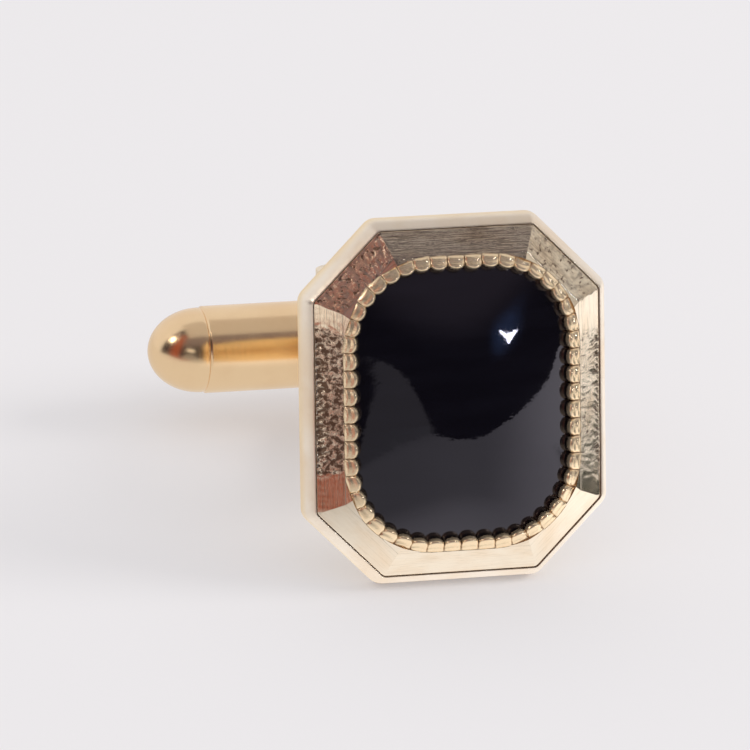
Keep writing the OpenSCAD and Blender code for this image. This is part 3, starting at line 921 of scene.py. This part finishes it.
# %% Tube
bar_r, bore_r = BAR_D / 2, BAR_D / 2 - TUBE_WALL
outline = fillet([
    (bore_r, -TUBE_END, 0), (bar_r - SEAM_BEVEL, -TUBE_END, FINE_R),
    (bar_r, SEAM_BEVEL - TUBE_END, SOFT_R), (bar_r, TUBE_END - SEAM_BEVEL, SOFT_R),
    (bar_r - SEAM_BEVEL, TUBE_END, FINE_R), (bore_r, TUBE_END, 0)], steps=3)
tube = publish("swivel_tube", turned(outline, "bar", endless=True, steps=BAR_STEPS))
carve(tube, "DIFFERENCE", drill(pin_r + TURN_GAP, -bar_r, bar_r, "pin"))
clean(tube.data, 32)
install(tube, "bar", "bar_tube", bar_gold)

# %% Tips
nose_start = TUBE_END + SEAM_BEVEL
plug_r = bore_r - FIT_GAP
nose = [((bar_r - TIP_STEP) * math.cos(a), nose_start + (BAR_LEN / 2 - nose_start) * math.sin(a))
        for a in arc(32)[:-1]]
outline = [(plug_r, TUBE_END - PLUG_LEN), (plug_r, TUBE_END), (bar_r - SEAM_BEVEL, TUBE_END)]
outline += nose
for name, node, side in (("left_tip", "bar_tip_left", -1), ("right_tip", "bar_tip_right", 1)):
    tip = publish(name, turned([(r, side * t) for r, t in outline], "bar", steps=BAR_STEPS))
    install(tip, "bar", node, bar_gold)

# %% [markdown]
# ## Hidden pieces
# The cement under the stone and the leaf inside the tube are right as the CAD model has them, so
# they keep their meshes and only get their finishes.

# %% Finishes of the CAD's own pieces
for node, finish_of_node in (("stone_cement", grey_cement), ("friction_leaf", spring_steel)):
    mesh = frame["nodes"][node].data
    mesh.materials.clear()
    mesh.materials.append(finish_of_node)
    print(f"{node}: {finish_of_node.name}")

# %% [markdown]
# ## Table and light
# The photograph was taken on white paper, near a window, in a dark room. A black stone and
# polished metal show little else than that room, so it is part of the picture: dark in front,
# something red-brown at the left, a grey wall at the right, a window with a blue haze round it,
# and the paper, which ends at the edge of the table. Two painted screens stand for it. Each is a
# grid of points with a glow at every point, and only reflections see them, so that they change
# nothing in the plain, soft light on the object. That light is one broad lamp and a pale world.


# %% Floor
def lit_paper(name, colour, own_share):
    """Paper for the floor. The camera sees a share of it in its own colour, whatever the light,
    which keeps the object's shadow as thin as in the photograph."""
    finish = Finish(name)
    to_camera = finish.node("LightPath", output="Is Camera Ray")
    return finish.ended(finish.node("MixShader", {}, {
        "Fac": to_camera * own_share, "Shader": finish.node("BsdfDiffuse", {}, {"Color": colour}),
        "Shader_001": finish.glow(colour)}))


def stage_object(name, points, faces, finish, reflections_only=False):
    """A floor, screen or card. It can be kept out of all but reflections."""
    mesh = new_mesh(name, points, faces)
    mesh.materials.append(finish)
    thing = new_object(name, mesh)
    if reflections_only:
        thing.visible_camera = thing.visible_diffuse = thing.visible_shadow = False
        thing.visible_transmission = thing.visible_volume_scatter = False
    return thing


FLOOR_HALF = 3.0
stage_object("paper_floor", [(x * FLOOR_HALF, y * FLOOR_HALF, 0)
                             for x, y in ((-1, -1), (1, -1), (1, 1), (-1, 1))],
             [(0, 1, 2, 3)], lit_paper("white_paper", (0.84, 0.82, 0.83), 0.4))
print("floor laid")


# %% Directions and screens
def towards(azimuth, elevation):
    """A unit vector away from the object. Azimuth 0 is the front, and 90 is the right."""
    a, e = math.radians(azimuth), math.radians(elevation)
    return Vector((math.sin(a) * math.cos(e), -math.cos(a) * math.cos(e), math.sin(e)))


def within(value, low, high, soft):
    """1 between two limits, which are soft."""
    return rising(value, low, low + soft) * (1 - rising(value, high - soft, high))


def blended(share, first, second):
    return tuple(a + (b - a) * share for a, b in zip(first, second))


def screen(name, columns, rows, place, glow):
    """A painted screen that only reflections see. Place and glow are functions of its grid."""
    points, faces, colours = [], [], []
    for u in columns:
        for v in rows:
            points.append(place(u, v))
            colours += (*glow(u, v), 1.0)
    n = len(rows)
    for i in range(len(columns) - 1):
        faces += [(i * n + k, i * n + k + 1, (i + 1) * n + k + 1, (i + 1) * n + k)
                  for k in range(n - 1)]
    finish = Finish(name)
    finish.ended(finish.glow(finish.node("Attribute", {"attribute_name": "glow"})))
    thing = stage_object(name, points, faces, finish.material, reflections_only=True)
    thing.data.attributes.new("glow", "FLOAT_COLOR", "POINT").data.foreach_set("color", colours)
    print(f"{name}: {len(points)} points")


# %% The room
DARK, GLOOM, CEILING, GREY_WALL = ((0.05, 0.043, 0.05), (0.22, 0.19, 0.21),
                                   (0.9, 0.87, 0.84), (0.68, 0.66, 0.62))
CURTAIN, PAPER, SHADE = (0.35, 0.088, 0.042), (0.88, 0.87, 0.87), (0.31, 0.3, 0.3)
GREEN_BLACK = (0.03, 0.034, 0.026)
# Distances of the room and its windows, and the place where the face meets the table, in metres
ROOM_FAR, PANE_FAR, FOOT_PLACE = 0.9, 0.8, Vector((0, -0.0095, 0.0003))


def curtain_share(azimuth):
    """The curtain hangs at the left, and fades out towards the side."""
    return rising(azimuth, -76, -56) * (1 - rising(azimuth, -47, -43))


def room_glow(azimuth, elevation):
    """What hangs in front of the cufflink, by its direction in degrees."""
    low_wall = 13 * math.sin(math.pi * min(1, max(0, (azimuth + 41) / 36)))
    glow = blended(rising(elevation, 24, 44) * (1 - rising(elevation, 55, 64)), DARK, GLOOM)
    glow = blended(1 - rising(elevation, low_wall - 1, low_wall), glow, SHADE)
    glow = blended(curtain_share(azimuth) * (1 - rising(elevation, 55, 64)), glow, CURTAIN)
    glow = blended((1 - rising(azimuth, -54, -46)) * (1 - rising(elevation, -2, 1)), glow, PAPER)
    glow = blended(rising(azimuth, 60, 76) * rising(elevation, 8, 24), glow, GREY_WALL)
    haze = within(azimuth, 26, 46, 9) * within(elevation, 17, 33, 7)
    glow = [g + h * haze for g, h in zip(glow, (0.12, 0.24, 0.5))]
    return blended(rising(elevation, 78, 84), glow, CEILING)


def table_glow(azimuth, distance):
    """The paper and the dark table past its edge, by direction and distance in millimetres."""
    edge = 68 + 0.012 * abs(azimuth - 14) ** 3
    light = 0.56 + 0.09 * rising(azimuth, -30, 15) + 0.75 * rising(azimuth, 20, 68)
    light -= 0.12 * rising(azimuth, 72, 84)
    light -= 0.2 * rising(distance, 40, 200) * (1 - rising(azimuth, -5, 10))
    light = max(light - 0.33 * rising(azimuth, 115, 150), 0.85 * rising(-azimuth, 50, 75))
    light = 1.1 + (light - 1.1) * rising(distance, 4, 12)
    past = rising(distance, 0.93 * edge, 1.09 * edge) * within(azimuth, -8, 110, 6)
    glow = blended(past, [p * light for p in PAPER], DARK)
    glow = blended(within(azimuth, 60, 106, 12) * within(distance, 14, 62, 12), glow, GREEN_BLACK)
    return blended(curtain_share(azimuth) * within(distance, 22, 1500, 15), glow, CURTAIN)


screen("front_room", range(-94, 103), list(range(0, 20)) + list(range(20, 91, 2)),
       lambda a, e: towards(a, e) * ROOM_FAR, room_glow)
screen("table_top", [*range(-180, -12, 4), *(k / 3 for k in range(-36, 336)), *range(112, 181, 4)],
       [0.5 * 1.03 ** k for k in range(264)],
       lambda a, d: towards(a, 0) * d * MM + FOOT_PLACE, table_glow)


# %% Windows and small cards
def pane(name, corners, colour, strength=1.0):
    """A glowing pane that only reflections see."""
    finish = Finish(name)
    stage_object(name, corners, [(0, 1, 2, 3)], finish.ended(finish.glow(colour, strength)),
                 reflections_only=True)


for name, directions, colour, strength in (
        ("window", ((33, 27), (36.5, 24.4), (42, 22.5), (37.5, 20.6)), (0.86, 0.92, 1.0), 45.0),
        ("side_window", ((-86, 34), (-75, 34), (-75, 44), (-86, 44)), (1.0, 0.98, 0.9), 9.0)):
    pane(name, [towards(a, e) * PANE_FAR for a, e in directions], colour, strength)
pane("bright_card", [(-0.0205, -0.0128, 0.0121), (-0.0147, -0.0194, 0.0121),
                     (-0.0147, -0.0194, 0.017), (-0.0205, -0.0128, 0.017)], (0.9, 0.88, 0.84))
pane("reflector", [(-0.02, -0.01, 0.034), (0.016, -0.01, 0.034), (0.016, 0.016, 0.034),
                   (-0.02, 0.016, 0.034)], (0.56, 0.54, 0.53))
print("room hung")

# %% Lamps and world
key = bpy.data.lights.new("key", "AREA")
key.shape, key.size, key.energy, key.color = "DISK", 0.36, 2.7, (1.0, 0.98, 0.95)
key_lamp = new_object("key", key)
key_lamp.location = towards(76, 30) * PANE_FAR
key_lamp.rotation_euler = (-key_lamp.location).to_track_quat("-Z", "Y").to_euler()
key_lamp.visible_glossy = False

world = bpy.data.worlds.new("soft_room")
bpy.context.scene.world = world
world.use_nodes = True
world.node_tree.nodes.clear()
sky = add_node(world.node_tree, "ShaderNodeBackground", {},
               {"Color": (0.98, 0.98, 1.0), "Strength": 0.83})
add_node(world.node_tree, "ShaderNodeOutputWorld", {}, {"Surface": sky.outputs[0]})
print("light set")

# %% [markdown]
# ## Camera
# The photograph looks at the cufflink from a little left of its face and from above, with the
# horizon slightly turned. A long lens from a third of a metre keeps its proportions. The frame is
# centred on what the camera sees of the CAD model.

# %% Camera
AZIMUTH, ELEVATION, ROLL = -15.7, 24.0, 3.2
DISTANCE, FRAME_MM, LOWER = 0.34, 35.4, 0.03
back = towards(AZIMUTH, ELEVATION)
right = towards(AZIMUTH + 90, 0)
up = back.cross(right)
turn = Matrix.Rotation(math.radians(ROLL), 3, back)
right, up = turn @ right, turn @ up
corners = [v.co for node in frame["nodes"].values() for v in node.data.vertices]
spans = [[f(p.dot(axis) for p in corners) for f in (min, max)] for axis in (right, up, back)]
middle = sum((axis * (low + high) / 2 for axis, (low, high) in zip((right, up, back), spans)),
             Vector())
middle += up * FRAME_MM * MM * LOWER
lens = bpy.data.cameras.new("camera")
lens.sensor_width = 36.0
lens.lens = lens.sensor_width * DISTANCE / (FRAME_MM * MM)
lens.clip_start, lens.clip_end = 0.01, 20.0
camera = new_object("camera", lens)
camera.matrix_world = (Matrix.Translation(middle + back * DISTANCE)
                       @ Matrix((right, up, back)).transposed().to_4x4())
bpy.context.scene.camera = camera
bpy.context.scene.view_settings.view_transform = "Standard"
print(f"the object spans {(spans[0][1] - spans[0][0]) / MM / FRAME_MM:.0%} of the frame's width")
